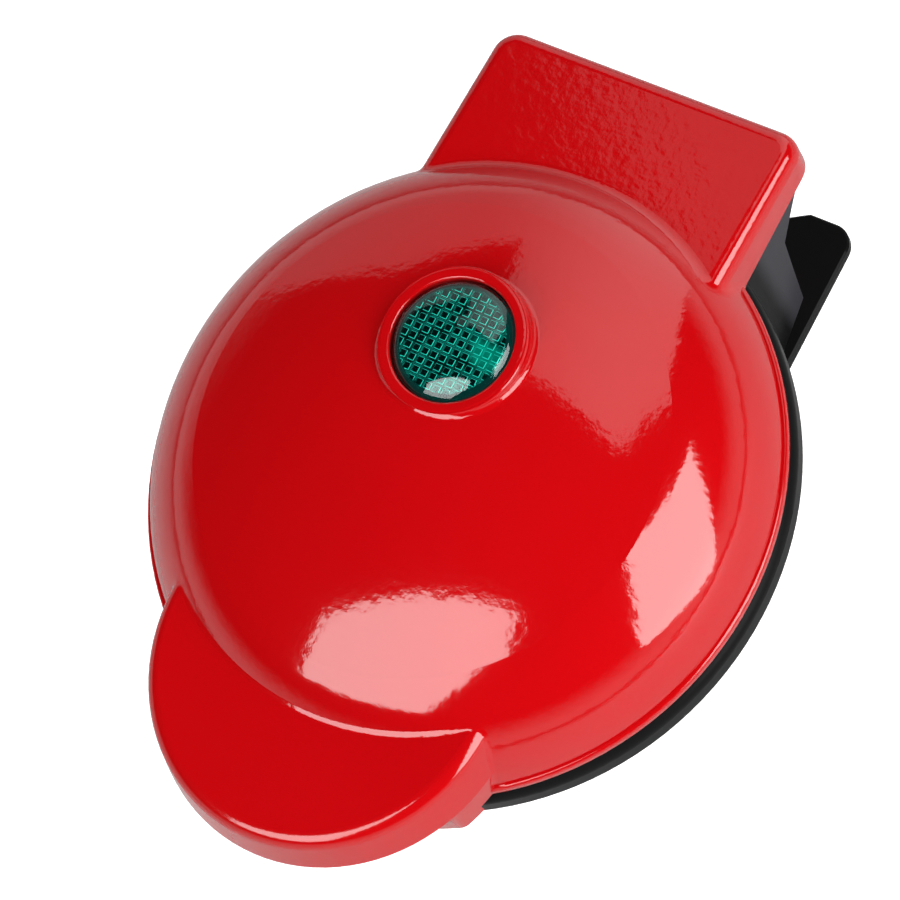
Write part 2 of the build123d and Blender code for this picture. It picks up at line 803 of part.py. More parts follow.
def make_base_shell():
    """Bowl, rim bead, neck with the hinge seats, and the bosses for the ring and the cover."""
    low = E - bowl_top_drop
    rim_hollow = rod(bead_inner, bowl_top_drop, z=low)
    shell = bowl(0) + bead() + make_neck() - bowl(base_wall) - rim_hollow - neck_hollow()
    ring_places = around(ring_screw_angles, ring_screw_circle)
    length = ring_boss_height + lid_wall
    room = bowl(base_wall / 2) + rod(bead_inner, bowl_top_drop, z=low)
    bosses = rods(ring_boss_radius, length, ring_places, E - ring_height - length)
    shell = shell + [boss & room for boss in bosses]
    shell = shell + rods(cover_boss_radius, cover_boss_height, around(cover_screw_angles, cover_boss_circle), cover_top)
    shell = shell + along_neck(inlet_boss, inlet_face - neck_foot + base_wall, inlet_face, Align.MIN)
    shell = shell - along_neck(gland_body + gland_clearance, block_rear - neck_front, block_rear, Align.MIN)
    shell = shell - eye_slots()
    shell = shell - cross_rod(pin_radius + pin_fit, rim_radius, hinge_y, hinge_z)
    depth = ring_gap + screw_head_height + screw_length + screw_spare
    shell = shell - rods(screw_hole, depth, ring_places, E - depth)
    return shell - rods(screw_hole, cover_screw_length + screw_spare,
                        around(cover_screw_angles, cover_boss_circle), cover_top)


def foot_places():
    """Places of the rubber feet."""
    front = around(front_foot_angles, cover_radius - front_foot_inset)
    return front + either_side(foot_half_width - rear_foot_side, foot_rear - rear_foot_before_edge)


def cover_plan():
    """Outline of the bottom plate: a disc that runs back into a notched tail."""
    tail = Pos(0, foot_rear / 2) * Rectangle(2 * foot_half_width, foot_rear)
    tail = fillet(tail.vertices().group_by(Axis.Y)[-1], foot_corner)
    floor = foot_rear - notch_depth
    notch = make_face(Polyline((-notch_half_mouth, foot_rear), (notch_half_mouth, foot_rear),
                               (notch_half_floor, floor), (-notch_half_floor, floor), close=True))
    return Circle(cover_radius) + tail - notch


def make_bottom_cover():
    """Round bottom plate that runs back into the notched foot plate."""
    cover = extrude(Pos(0, 0, cover_bottom) * cover_plan(), cover_thickness)
    cover = chamfer(cover.edges().group_by(Axis.Z)[-1], cover_edge)
    outer = bowl_foot_radius - base_wall - spigot_gap
    spigot = rod(outer, spigot_height, z=cover_top) - rod(outer - spigot_wall, spigot_height, z=cover_top)
    places = around(cover_screw_angles, cover_boss_circle)
    spigot = spigot - rods(cover_boss_radius + spigot_gap, spigot_height, places, cover_top)
    spigot = spigot - block(-rim_radius, rim_radius, spigot_end, rim_radius, cover_top, E)
    cover = cover + spigot
    cover = cover - rods(screw_hole, cover_thickness, places, cover_bottom)
    cover = cover - rods(screw_head_radius + screw_head_gap, screw_head_height, places, cover_bottom)
    return cover - rods(foot_stem_radius, foot_stem_length, foot_places(), cover_bottom)


def make_cover_screws():
    """Screws of the bottom cover, their heads sunk in it."""
    places = around(cover_screw_angles, cover_boss_circle)
    length = cover_thickness - screw_head_height + cover_screw_length
    return cross_screws(places, cover_bottom, screw_hole - screw_gap, length)


def make_rubber_feet():
    """Four pads with stems plugged into the cover."""
    feet = []
    for x, y in foot_places():
        pad = rod(foot_pad_radius, cover_bottom, x, y)
        pad = fillet(pad.edges().group_by(Axis.Z)[0], foot_pad_rounding)
        stem = rod(foot_stem_radius - foot_stem_gap, foot_stem_length - foot_stem_gap, x, y, cover_bottom)
        feet.append(pad + stem)
    return group(feet)


def make_hinge_pin():
    """Steel rod through the neck and the lid's hinge eyes."""
    pin = cross_rod(pin_radius, neck_top_half - pin_inset, hinge_y, hinge_z)
    return chamfer(pin.edges().filter_by(GeomType.CIRCLE), pin_chamfer)


def make_inlet_gland():
    """Bush in the neck's rear wall where the supply cord would come in."""
    inside = inlet_face - neck_foot + base_wall + gland_inside
    flange = along_neck(gland_flange, gland_flange_thickness, inlet_face, Align.MAX)
    flange = fillet(flange.edges().group_by(Axis.Y)[-1], gland_rounding)
    bush = flange + along_neck(gland_body, inside, inlet_face, Align.MIN)
    return bush - along_neck(inlet_bore, inside + 2 * gland_flange_thickness, inlet_face + gland_flange_thickness, Align.MIN)


def make_thermal_fuse():
    """Small fuse can lying on the upper plate's pad."""
    can = cross_rod(fuse_radius, fuse_length / 2, 0, E + pad_height + fuse_radius)
    return fillet(can.edges().filter_by(GeomType.CIRCLE), fuse_rounding)


def make_fuse_clip():
    """Strap that holds the fuse on the pad."""
    outline = strap_outline(fuse_radius + fuse_clip_gap, fuse_clip_wall, fuse_clip_foot, -fuse_radius)
    across = Plane.YZ * Pos(0, E + pad_height + fuse_radius) * outline
    return extrude(across, fuse_clip_width / 2, both=True) - rods(
        small_shank_radius, pad_height, fuse_screw_places(), E + pad_height - clip_wall)


def fuse_screw_places():
    """Places of the fuse clip's screws."""
    return [(0, -fuse_screw_y), (0, fuse_screw_y)]


def make_fuse_screws():
    """Two screws of the fuse clip."""
    return small_screws(fuse_screw_places(), pad_height + fuse_clip_wall)


def make_thermostat():
    """Round snap-disc thermostat on the lower plate's pad."""
    foot = E + pad_height
    body = rod(stat_radius, stat_collar + stat_height, z=foot) + rod(stat_radius + stat_lip, stat_collar, z=foot)
    return mirrored(body)


def make_thermostat_bracket():
    """Plate that holds the thermostat's collar down on the pad."""
    foot = E + pad_height
    places = either_side(stat_screw_x, 0)
    plate = rod(stat_plate_radius, stat_plate_thickness, z=foot + stat_collar)
    plate = plate + rods(stat_leg_radius, stat_collar, places, foot)
    plate = plate - rod(stat_radius + stat_gap, 2 * stat_height, z=foot)
    plate = plate - rod(stat_radius + stat_lip + stat_gap, stat_collar, z=foot)
    return mirrored(plate - rods(small_shank_radius, stat_height, places, foot))


def make_thermostat_screws():
    """Two screws of the thermostat's bracket."""
    return mirrored(small_screws(either_side(stat_screw_x, 0), pad_height + stat_collar + stat_plate_thickness))


def terminal_places():
    """Places of the clamps along the terminal block."""
    first = -terminal_pitch * (terminal_bores - 1) / 2
    return [(first + i * terminal_pitch, terminal_y) for i in range(terminal_bores)]


def make_terminal_block():
    """Block with clamp bores, standing on the bottom cover."""
    x, y = terminal_length / 2, terminal_depth / 2
    top = cover_top + terminal_height
    body = block(-x, x, terminal_y - y, terminal_y + y, cover_top, top)
    bore = Rot(90, 0, 0) * Cylinder(terminal_bore, terminal_depth)
    body = body - [Pos(bx, by, cover_top + terminal_height / 2) * bore for bx, by in terminal_places()]
    return body - rods(terminal_bore, terminal_screw_depth, terminal_places(), top - terminal_screw_depth)


def make_terminal_screws():
    """Clamp screws of the terminal block."""
    low = cover_top + terminal_height - terminal_screw_depth
    height = terminal_screw_depth - small_hole_spare
    screws = []
    for x, y in terminal_places():
        screw = rod(terminal_bore - screw_head_gap, height, x, y, low)
        slot = block(x - terminal_bore, x + terminal_bore, y - cross_half_width, y + cross_half_width,
                     low + height - cross_depth, low + height)
        screws.append(screw - slot)
    return group(screws)


def wire(points):
    """A round wire along straight runs joined by arcs."""
    path = FilletPolyline(*points, radius=wire_bend)
    return sweep(Plane(origin=path @ 0, z_dir=path % 0) * Circle(wire_radius), path)


def tab_places():
    """Where a wire leaves each heater tab, as (side, x, y)."""
    a = (90 - heater_gap_angle / 2) * pi / 180
    reach = seal_length + tab_length / 2
    y = seat_radius * sin(a) + reach * cos(a) + tab_thickness + wire_tab_gap
    return [(side, side * (seat_radius * cos(a) - reach * sin(a)), y) for side in (-1, 1)]


def make_lid_leads():
    """Two leads from the upper heating ring's terminals back into the hinge block."""
    z = E + heater_lift
    end = splice_y - wire_tab_gap
    return group([wire([(x, y, z), (x, lid_wire_turn, z), (x, lid_wire_rest_y, E + lid_wire_rest),
                        (x, end, E + lid_wire_end)]) for side, x, y in tab_places()])


def make_lead_splices():
    """Crimped splices at the ends of the lid's leads."""
    splices = []
    for side, x, y in tab_places():
        sleeve = Pos(x, splice_y, E + lid_wire_end) * Rot(-90, 0, 0) * Cylinder(
            splice_radius, splice_length, align=(Align.CENTER, Align.CENTER, Align.MIN))
        splices.append(fillet(sleeve.edges().filter_by(GeomType.CIRCLE), splice_radius / 4))
    return group(splices)


def make_base_leads():
    """Two leads from the lower heating ring's terminals down to the terminal block."""
    z = E - heater_lift
    low = cover_top + terminal_height / 2
    end = terminal_y + terminal_depth / 2 + wire_tab_gap
    return group([wire([(x, y, z), (x, base_wire_turn, z), (x, base_wire_turn, low), (x, end, low)])
                  for side, x, y in tab_places()])


def moved(shape):
    """Shift a piece so that the origin is under the middle of the whole object."""
    return Pos(0, centre_shift) * shape


def mirrored(shape):
    """The same piece on the other side of the plane between the plates."""
    solids = [mirror(s, about=middle) for s in shape.solids()]
    return solids[0] if len(solids) == 1 else group(solids)


def make_lid():
    """Nodes of the lid by name."""
    plate = make_bubble_plate() - screw_sockets(fuse_screw_places(), pad_height + fuse_clip_wall)
    return {
        "lid_shell": make_lid_shell(),
        "lamp_lens": make_lamp_lens(),
        "lamp_holder": make_lamp_holder(),
        "neon_lamp": make_neon_lamp(),
        "lid_inner_ring": make_inner_ring(lid_ring_outer),
        "lid_ring_screws": make_ring_screws(),
        "upper_bubble_plate": plate,
        "upper_heater": make_heater(),
        "upper_heater_seals": make_heater_seals(),
        "upper_heater_tabs": make_heater_tabs(),
        "upper_heater_clips": make_heater_clips(),
        "upper_clip_screws": make_clip_screws(),
        "upper_heat_shield": make_heat_shield(),
        "upper_shield_screws": make_shield_screws(),
        "lid_hinge_bracket": make_hinge_bracket(),
        "bracket_screws": make_bracket_screws(),
        "thermal_fuse": make_thermal_fuse(),
        "fuse_clip": make_fuse_clip(),
        "fuse_screws": make_fuse_screws(),
        "lid_leads": make_lid_leads(),
        "lead_splices": make_lead_splices(),
    }


def make_base():
    """Nodes of the base by name."""
    plate = make_bubble_plate() - screw_sockets(either_side(stat_screw_x, 0),
                                                pad_height + stat_collar + stat_plate_thickness)
    return {
        "base_shell": make_base_shell(),
        "base_inner_ring": mirrored(make_inner_ring(base_ring_outer)),
        "base_ring_screws": mirrored(make_ring_screws()),
        "lower_bubble_plate": mirrored(plate),
        "lower_heater": mirrored(make_heater()),
        "lower_heater_seals": mirrored(make_heater_seals()),
        "lower_heater_tabs": mirrored(make_heater_tabs()),
        "lower_heater_clips": mirrored(make_heater_clips()),
        "lower_clip_screws": mirrored(make_clip_screws()),
        "lower_heat_shield": mirrored(make_heat_shield()),
        "lower_shield_screws": mirrored(make_shield_screws()),
        "thermostat": make_thermostat(),
        "thermostat_bracket": make_thermostat_bracket(),
        "thermostat_screws": make_thermostat_screws(),
        "terminal_block": make_terminal_block(),
        "terminal_screws": make_terminal_screws(),
        "base_leads": make_base_leads(),
        "bottom_cover": make_bottom_cover(),
        "cover_screws": make_cover_screws(),
        "rubber_feet": make_rubber_feet(),
        "hinge_pin": make_hinge_pin(),
        "inlet_gland": make_inlet_gland(),
    }


def main():
    """Write every node to its own file."""
    os.makedirs("parts", exist_ok=True)
    for name, shape in (make_lid() | make_base()).items():
        export_step(moved(shape), os.path.join("parts", name + ".step"))
        print(name, len(shape.solids()), round(shape.volume, 1))


if __name__ == "__main__":
    main()
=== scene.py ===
import math

import bpy
from mathutils import Matrix, Vector


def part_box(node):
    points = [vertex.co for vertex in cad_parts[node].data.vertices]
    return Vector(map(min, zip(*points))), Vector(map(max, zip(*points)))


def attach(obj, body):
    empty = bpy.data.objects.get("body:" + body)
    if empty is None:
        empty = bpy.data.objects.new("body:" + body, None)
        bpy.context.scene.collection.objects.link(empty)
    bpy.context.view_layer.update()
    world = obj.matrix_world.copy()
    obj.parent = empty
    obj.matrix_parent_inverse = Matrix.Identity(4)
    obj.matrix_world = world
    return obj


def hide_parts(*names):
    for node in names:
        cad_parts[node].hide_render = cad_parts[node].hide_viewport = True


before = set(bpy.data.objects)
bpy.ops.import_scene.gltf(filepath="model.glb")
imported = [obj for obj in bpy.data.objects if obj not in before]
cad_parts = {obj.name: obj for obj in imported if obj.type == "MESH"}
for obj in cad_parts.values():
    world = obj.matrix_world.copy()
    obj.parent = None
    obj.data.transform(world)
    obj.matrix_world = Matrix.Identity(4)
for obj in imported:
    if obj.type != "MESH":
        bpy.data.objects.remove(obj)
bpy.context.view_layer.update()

MM = 0.001

# Camera, at the photograph's viewing angle
EYE = Vector((0.263493, -0.096868, 0.605125))
RIGHT = Vector((0.826956, 0.468341, -0.311128))
UP = Vector((-0.368936, 0.869539, 0.328310))
BACK = Vector((0.424299, -0.156712, 0.891859))
LENS_LENGTH = 135.15
SENSOR = 36.0
CLIP_START = 0.01

# Studio
TARGET = Vector((0.0, 0.0, 60 * MM))
LIGHT_DISTANCE = 1.0
FLOOR_SIZE = 8.0
FLOOR_GLOW = 0.95
CEILING_BRIGHTNESS = 0.02
WALL_BRIGHTNESS = 0.85
WALL_HEIGHT = 0.20
WALL_SOFTNESS = 0.16

# Top edge of the left softbox: its height at one side, its rise to the other and its bend
LEFT_SLANT = (0.49, 0.86, -0.40)

# Large pale panels behind the object, each edge a plane through it
REAR_BRIGHTNESS = 0.55
REAR_TOP = 0.53
REAR_SLOPE = (0.036, 0.7445, -0.6666)
PANEL_BRIGHTNESS = 1.55
PANEL_TOP = (0.2214, 0.8865, -0.4066)
PANEL_RIGHT = (-0.9757, 0.1092, 0.1899)
PANEL_LEFT = (0.8572, 0.5150, 0.0)
PANEL_FADE = (0.927, 0.3746, 0.0)
PANEL_FADE_SOFTNESS = 0.3
PATCH_LEFT = (0.6896, 0.7242, 0.0)
PATCH_LOW = 0.77
PATCH_HIGH = 0.88
EDGE_SOFTNESS = 0.012

# Where the handle's duller finish ends and where the painted sheen on the neck begins
HANDLE_REAR = (-66 * MM, -60 * MM)
NECK_SHEEN_FRONT = (57 * MM, 62 * MM)

# Lamp lens: a clear cover over a plate of small prisms, which ends in a tube
LAMP_Y = 15.15 * MM
COVER_RADIUS = 11.6 * MM
COVER_CROWN = 3.0 * MM
COVER_EDGE_ROUND = 0.35 * MM
COVER_DEPTH = 5.2 * MM
COVER_WALL = 0.5 * MM
COVER_SKIRT = 0.35 * MM
COVER_STEPS = 96
FACE_STEPS = 12
INSIDE_STEPS = 8
PLATE_RISE = 1.7 * MM
PLATE_GAP = 0.03 * MM
TUBE_RADIUS = 9.9 * MM
TUBE_WALL = 1.3 * MM
PRISM_FIELD = 10.0 * MM
PRISM_FIELD_SOFTNESS = 0.1 * MM
PRISM_PITCH = 1.85 * MM
PRISM_FOOT = 1.74 * MM
PRISM_TOP = 1.2 * MM
PRISM_RISE = 0.5 * MM
PRISM_SINK = 0.02 * MM
PRISM_ROWS = 13
PRISM_OVERHANG = 0.3

# Least distance from the lamp's axis that the trimming of the prisms divides by
AXIS_GUARD = 0.1 * MM

# Rings on a prism, as shares of the way from its middle to the middle of the valley
TOP_LINE = (0.64, 0.71)
PRISM_SIDE = (0.71, 0.89)
VALLEY_LINE = (0.89, 0.94)
LINE_SOFTNESS = 0.02
SIDE_SOFTNESS = 0.03

# The part of the prisms where a painted glow from the lamp lightens their colour
GLOW_TURN = 0.4
GLOW_START = (3.2 * MM, 5.5 * MM)
GLOW_Y = -0.3 * MM
GLOW_HALF_WIDTH = (1.2 * MM, 3.4 * MM)

# Distance between the threads of the leads' sleeve
THREAD_SPACING = 0.7 * MM


def rotation_of(right, up, back):
    """A turn that puts X, Y and Z along three directions."""
    return Matrix((right, up, back)).transposed().to_4x4()


def add_object(name, data):
    """A new object in the scene."""
    item = bpy.data.objects.new(name, data)
    bpy.context.scene.collection.objects.link(item)
    return item


def make_camera():
    """The camera, placed from the photograph's perspective."""
    data = bpy.data.cameras.new("camera")
    data.lens = LENS_LENGTH
    data.sensor_width = SENSOR
    data.clip_start = CLIP_START
    camera = add_object("camera", data)
    camera.matrix_world = Matrix.Translation(EYE) @ rotation_of(RIGHT, UP, BACK)
    bpy.context.scene.camera = camera


class Number:
    """A number worked out by nodes; the usual signs add maths nodes."""

    def __init__(self, nodes, socket):
        self.nodes = nodes
        self.socket = socket

    def maths(self, operation, *others):
        return self.nodes.maths(operation, self, *others)

    def __add__(self, other):
        return self.maths("ADD", other)

    def __sub__(self, other):
        return self.maths("SUBTRACT", other)

    def __rsub__(self, other):
        return self.nodes.maths("SUBTRACT", other, self)

    def __mul__(self, other):
        return self.maths("MULTIPLY", other)

    def __truediv__(self, other):
        return self.maths("DIVIDE", other)

    def __rtruediv__(self, other):
        return self.nodes.maths("DIVIDE", other, self)

    def __abs__(self):
        return self.maths("ABSOLUTE")

    __radd__ = __add__
    __rmul__ = __mul__

    def at_least(self, other):
        return self.maths("MAXIMUM", other)

    def at_most(self, other):
        return self.maths("MINIMUM", other)

    def wave(self, spacing):
        """From 0 to 1 and back over each spacing."""
        return self.maths("PINGPONG", spacing / 2) * (2 / spacing)

    def step(self, low, high):
        """Rises smoothly from 0 at low to 1 at high."""
        settings = {"interpolation_type": "SMOOTHSTEP"}
        sockets = {"Value": self, "From Min": low, "From Max": high}
        node = self.nodes.node("ShaderNodeMapRange", settings, sockets)
        return Number(self.nodes, node.outputs["Result"])

    def edge(self, place, soft):
        """Rises from 0 to 1 at a place, softly on both sides of it."""
        return self.step(place - soft, place + soft)

    def band(self, low, high, soft):
        """1 between low and high, with soft edges."""
        return self.edge(low, soft) * (1 - self.edge(high, soft))


class Nodes:
    """A node tree and the few ways in which nodes are added to it."""

    def __init__(self, tree):
        self.tree = tree

    def node(self, kind, settings=None, sockets=None):
        node = self.tree.nodes.new(kind)
        for name, value in (settings or {}).items():
            setattr(node, name, value)
        self.fill(node, sockets or {})
        return node

    def fill(self, node, sockets):
        for name, value in sockets.items():
            value = value.socket if isinstance(value, Number) else value
            if isinstance(value, bpy.types.NodeSocket):
                self.tree.links.new(value, node.inputs[name])
            else:
                node.inputs[name].default_value = value

    def first(self, kind, sockets=None, **settings):
        """The first output of a new node."""
        return self.node(kind, settings, sockets).outputs[0]

    def maths(self, operation, *values):
        sockets = dict(enumerate(values))
        return Number(self, self.first("ShaderNodeMath", sockets, operation=operation))

    def parts(self, vector):
        """The three numbers of a vector."""
        split = self.node("ShaderNodeSeparateXYZ", sockets={0: vector})
        return [Number(self, out) for out in split.outputs]


def direction(azimuth, elevation):
    """Unit vector from degrees round from +X and up from the table."""
    a, e = math.radians(azimuth), math.radians(elevation)
    return Vector((math.cos(a) * math.cos(e), math.sin(a) * math.cos(e), math.sin(e)))


def shape_light(data, slant):
    """Leaves a light dark above a curved line across it."""
    data.use_nodes = True
    nodes = Nodes(data.node_tree)
    across, up, _ = nodes.parts(nodes.node("ShaderNodeNewGeometry").outputs["Parametric"])
    start, rise, bend = slant
    lit = (start + across * (rise + bend * across) - up).edge(0, EDGE_SOFTNESS)
    nodes.fill(data.node_tree.nodes["Emission"], {"Strength": lit})


def softbox(name, azimuth, elevation, width, height, brightness, roll, slant=None):
    """A flat studio light that faces the object, its top edge slanted if a slant is given."""
    data = bpy.data.lights.new(name, "AREA")
    data.shape = "RECTANGLE"
    data.size = width
    data.size_y = height
    data.energy = brightness * math.pi * width * height
    if slant:
        shape_light(data, slant)
    back = direction(azimuth, elevation)
    right = Vector((-math.sin(math.radians(azimuth)), math.cos(math.radians(azimuth)), 0))
    turn = rotation_of(right, back.cross(right), back) @ Matrix.Rotation(math.radians(roll), 4, "Z")
    add_object(name, data).matrix_world = Matrix.Translation(TARGET + LIGHT_DISTANCE * back) @ turn


def colour(red, green, blue):
    """An opaque colour."""
    return (red, green, blue, 1.0)


def make_world():
    """Pale walls, higher behind the object, a lit panel at the rear and a dark ceiling."""
    world = bpy.data.worlds.new("studio")
    bpy.context.scene.world = world
    world.use_nodes = True
    nodes = Nodes(world.node_tree)
    east, north, up = nodes.parts(nodes.node("ShaderNodeTexCoord").outputs["Generated"])

    def beyond(plane, soft=EDGE_SOFTNESS):
        """1 on the side of a plane through the object that its normal points to."""
        return (east * plane[0] + north * plane[1] + up * plane[2]).edge(0, soft)

    wall = 1 - up.edge(WALL_HEIGHT, WALL_SOFTNESS)
    behind = beyond(PANEL_RIGHT)
    rear = behind * beyond(REAR_SLOPE) * (1 - up.edge(REAR_TOP, EDGE_SOFTNESS))
    panel = behind * beyond(PANEL_TOP) * beyond(PANEL_LEFT)
    patch = behind * beyond(PATCH_LEFT) * up.band(PATCH_LOW, PATCH_HIGH, EDGE_SOFTNESS)
    fade = beyond(PANEL_FADE, PANEL_FADE_SOFTNESS)
    glow = REAR_BRIGHTNESS + (PANEL_BRIGHTNESS - REAR_BRIGHTNESS) * fade
    strength = CEILING_BRIGHTNESS + WALL_BRIGHTNESS * wall
    strength = strength.at_least(glow * rear.at_least(panel)).at_least(REAR_BRIGHTNESS * patch)
    background = world.node_tree.nodes["Background"]
    nodes.fill(background, {"Color": colour(1, 1, 1), "Strength": strength})


class Finish(Nodes):
    """A material around one Principled shader."""

    def __init__(self, name, **uniform):
        self.material = bpy.data.materials.new(name)
        self.material.use_nodes = True
        super().__init__(self.material.node_tree)
        self.shader = self.tree.nodes["Principled BSDF"]
        self.paint(**uniform)
        self.place = self.node("ShaderNodeTexCoord").outputs["Object"]

    def paint(self, **sockets):
        """Sets or links the shader's sockets, named with _ for a space."""
        self.fill(self.shader, {name.replace("_", " "): value for name, value in sockets.items()})

    def placed(self, centre=(0, 0, 0), scale=(1, 1, 1)):
        """The place on the object, seen from a centre and stretched."""
        shift = [-c * s for c, s in zip(centre, scale)]
        sockets = {"Vector": self.place, "Scale": scale, "Location": shift}
        return self.first("ShaderNodeMapping", sockets, vector_type="POINT")

    def axes(self, centre=(0, 0, 0)):
        """X, Y and Z from a centre."""
        return self.parts(self.placed(centre))

    def noise(self, per_metre, detail=2.0, stretch=(1, 1, 1)):
        """Soft random variation from 0 to 1."""
        sockets = {"Vector": self.placed(scale=stretch), "Scale": per_metre, "Detail": detail}
        return Number(self, self.node("ShaderNodeTexNoise", sockets=sockets).outputs["Fac"])

    def grains(self, per_metre):
        """Distance to the middle of the nearest grain."""
        sockets = {"Vector": self.place, "Scale": per_metre}
        return Number(self, self.node("ShaderNodeTexVoronoi", sockets=sockets).outputs["Distance"])

    def mix(self, share, first, second):
        """A colour between two colours."""
        sockets = {0: share, 6: first, 7: second}
        return self.node("ShaderNodeMix", {"data_type": "RGBA"}, sockets).outputs[2]

    def bump(self, height, depth):
        """Relief of a given depth in metres."""
        sockets = {"Height": height, "Distance": depth, "Strength": 1.0}
        self.paint(Normal=self.first("ShaderNodeBump", sockets))


def red_plastic():
    """Glossy plastic with the faint ripple of a moulding, a little duller on the handle."""
    finish = Finish("red_plastic_gloss", Specular_IOR_Level=0.6)
    deep, bright = colour(0.40, 0.0010, 0.0022), colour(0.43, 0.0014, 0.0030)
    finish.paint(Base_Color=finish.mix(finish.noise(35, 3), deep, bright))
    _, y, _ = finish.axes()
    handle = 1 - y.step(*HANDLE_REAR)
    finish.paint(Roughness=0.055 + 0.03 * finish.noise(260, 4) + 0.05 * handle)
    finish.bump(finish.noise(300, 2) + 0.8 * finish.noise(700, 2), 0.026 * MM)
    return finish.material


def black_satin(name, tone, roughness, grain_depth, neck_sheen=None):
    """Moulded black plastic with a fine spark-eroded grain, painted paler on the neck as a painted
    sheen.
    """
    finish = Finish(name, Specular_IOR_Level=0.04)
    dark = colour(0.8 * tone, 0.8 * tone, 0.84 * tone)
    light = colour(1.15 * tone, 1.15 * tone, 1.2 * tone)
    body = finish.mix(finish.noise(60, 3), dark, light)
    _, y, _ = finish.axes()
    # Painted sheen: from the neck's front backwards the colour turns paler, standing in for light
    # caught on the neck
    wear_and_sheen = colour(*neck_sheen) if neck_sheen else colour(tone, tone, tone)
    finish.paint(Base_Color=finish.mix(y.step(*NECK_SHEEN_FRONT), body, wear_and_sheen))
    grain = finish.noise(2600, 2)
    finish.paint(Roughness=roughness - 0.05 + 0.1 * grain)
    finish.bump(grain, grain_depth)
    return finish.material


def lens_cover_green():
    """Clear, deep green plastic of the lens face."""
    finish = Finish("lens_cover_green", Transmission_Weight=1.0, IOR=1.49)
    deep, pale = colour(0.12, 0.62, 0.52), colour(0.16, 0.70, 0.60)
    finish.paint(Base_Color=finish.mix(finish.noise(120, 2), deep, pale))
    finish.paint(Roughness=0.015 + 0.02 * finish.noise(300, 2))
    return finish.material


def lens_prism_green():
    """Green prisms: bright lines round dark tops, dark valleys between and a plain dark border,
    with the lines as painted highlights and the whole plate glowing as painted light.
    """
    finish = Finish("lens_prism_green", Roughness=0.22)
    x, y, _ = finish.axes((0, LAMP_Y, 0))
    out = x.wave(PRISM_PITCH).at_least(y.wave(PRISM_PITCH))
    field = 1 - (x * x + y * y).maths("SQRT").edge(PRISM_FIELD, PRISM_FIELD_SOFTNESS)
    uneven = finish.noise(330, 2)
    valley = out.band(*VALLEY_LINE, LINE_SOFTNESS) * uneven.step(0.38, 0.55) * 0.35
    side = out.band(*PRISM_SIDE, SIDE_SOFTNESS) * (0.03 + 0.10 * uneven.step(0.35, 0.7))
    # Painted glow: a lighter green patch on one side of the prisms
    glow = (x + GLOW_TURN * y).step(*GLOW_START) * (1 - abs(y - GLOW_Y).step(*GLOW_HALF_WIDTH))
    dark, green, bright = colour(0, 0.006, 0.007), colour(0, 0.42, 0.35), colour(0.14, 1.0, 0.95)
    body = finish.mix((side + 0.42 * glow).at_most(1.0), dark, green)
    body = finish.mix(field, colour(0.0, 0.030, 0.032), body)
    # Painted highlights: bright lines round the prism tops and, in places, along the valleys
    line = out.band(*TOP_LINE, LINE_SOFTNESS).at_least(valley) * field
    finish.paint(Base_Color=finish.mix(line * (0.75 + 0.25 * uneven), body, bright))
    # Painted light: the prisms glow in their own colours, brightest on the lines, though they are
    # no lamp
    finish.paint(Emission_Color=finish.mix(line, body, bright), Emission_Strength=1.0)
    return finish.material


def lamp_glass():
    """Clear glass of the small glow lamp."""
    finish = Finish("lamp_glass_clear", Transmission_Weight=1.0, IOR=1.5)
    amber, pale = colour(0.95, 0.88, 0.78), colour(1.0, 0.95, 0.88)
    finish.paint(Base_Color=finish.mix(finish.noise(400), amber, pale))
    finish.paint(Roughness=0.02 + 0.03 * finish.noise(900))
    return finish.material


def pan_coat():
    """Dark non-stick coating over cast aluminium, with fine pale specks."""
    finish = Finish("pan_coat_speckled")
    speck = 1 - finish.grains(900).step(0.08, 0.16)
    coat = finish.mix(finish.noise(90, 4), colour(0.016, 0.016, 0.018), colour(0.030, 0.030, 0.033))
    finish.paint(Base_Color=finish.mix(0.5 * speck, coat, colour(0.16, 0.16, 0.17)))
    finish.paint(Roughness=0.30 + 0.12 * finish.noise(700, 3), Metallic=0.25 * speck)
    finish.bump(finish.noise(1500, 3), 0.02 * MM)
    return finish.material


def bare_metal(name, tone, roughness, per_metre, stretch=(1, 1, 1), warmth=0.0):
    """Bare or plated metal with rubbed marks, drawn out along one way by a stretch."""
    finish = Finish(name, Metallic=1.0)
    wear_and_sheen = finish.noise(per_metre, 3, stretch)
    dull = colour(tone * 0.82, tone * (0.82 - warmth), tone * (0.82 - 2 * warmth))
    clean = colour(tone, tone * (1 - warmth / 2), tone * (1 - warmth))
    finish.paint(Base_Color=finish.mix(wear_and_sheen, dull, clean))
    finish.paint(Roughness=roughness - 0.06 + 0.14 * wear_and_sheen)
    finish.bump(wear_and_sheen, 0.006 * MM)
    return finish.material


def pale_matte(name, low, high, roughness, per_metre, depth):
    """Unglazed ceramic and pale or dark matte mouldings."""
    finish = Finish(name)
    cloud = finish.noise(per_metre, 4)
    finish.paint(Base_Color=finish.mix(cloud, colour(*low), colour(*high)))
    finish.paint(Roughness=roughness - 0.08 + 0.16 * cloud)
    finish.bump(cloud, depth)
    return finish.material


def foot_rubber():
    """Black rubber with a little dust and a fine grain."""
    finish = Finish("foot_rubber_ringed")
    dust = finish.noise(250, 4)
    clean, dusty = colour(0.014, 0.014, 0.014), colour(0.045, 0.044, 0.042)
    finish.paint(Base_Color=finish.mix(dust, clean, dusty), Roughness=0.72 + 0.16 * dust)
    finish.bump(dust + finish.noise(3000), 0.03 * MM)
    return finish.material


def lead_sleeve():
    """Woven glass-fibre sleeve: two sets of slanted threads."""
    finish = Finish("lead_sleeve_woven", Roughness=0.85)
    x, y, z = finish.axes()
    weave = (x + y + z).wave(THREAD_SPACING).at_least((x + y - z).wave(THREAD_SPACING))
    finish.paint(Base_Color=finish.mix(weave, colour(0.42, 0.39, 0.33), colour(0.82, 0.79, 0.72)))
    finish.bump(weave, 0.08 * MM)
    return finish.material


